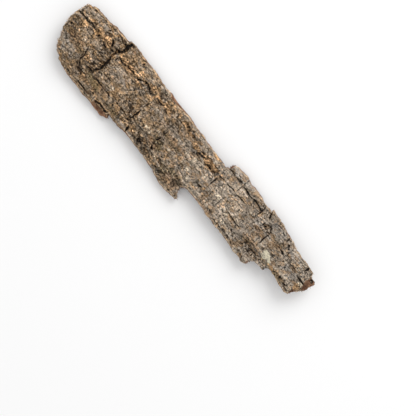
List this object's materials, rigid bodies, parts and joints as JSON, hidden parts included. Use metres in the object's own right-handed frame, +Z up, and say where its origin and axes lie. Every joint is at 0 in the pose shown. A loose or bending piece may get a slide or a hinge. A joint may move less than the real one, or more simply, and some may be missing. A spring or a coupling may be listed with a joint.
{
  "type": "indian almond bark piece",
  "caption": "Long curved slab of dry tree bark with a ragged outline, cracked grey-brown outer face and hollow reddish-brown inner face; lies outer face up as natural decor.",
  "frame": {"origin": "centre of the slab's plan box, on the surface it rests on", "axes": "+X along the grain towards the narrow end, +Y across the grain towards the far edge, +Z up out of the outer face"},
  "size_m": [0.2, 0.041, 0.0119],
  "materials": {
    "bark": "dry, rough and matt"
  },
  "bodies": {
    "root": {"bark_piece": "bark"}
  },
  "joints": []
}
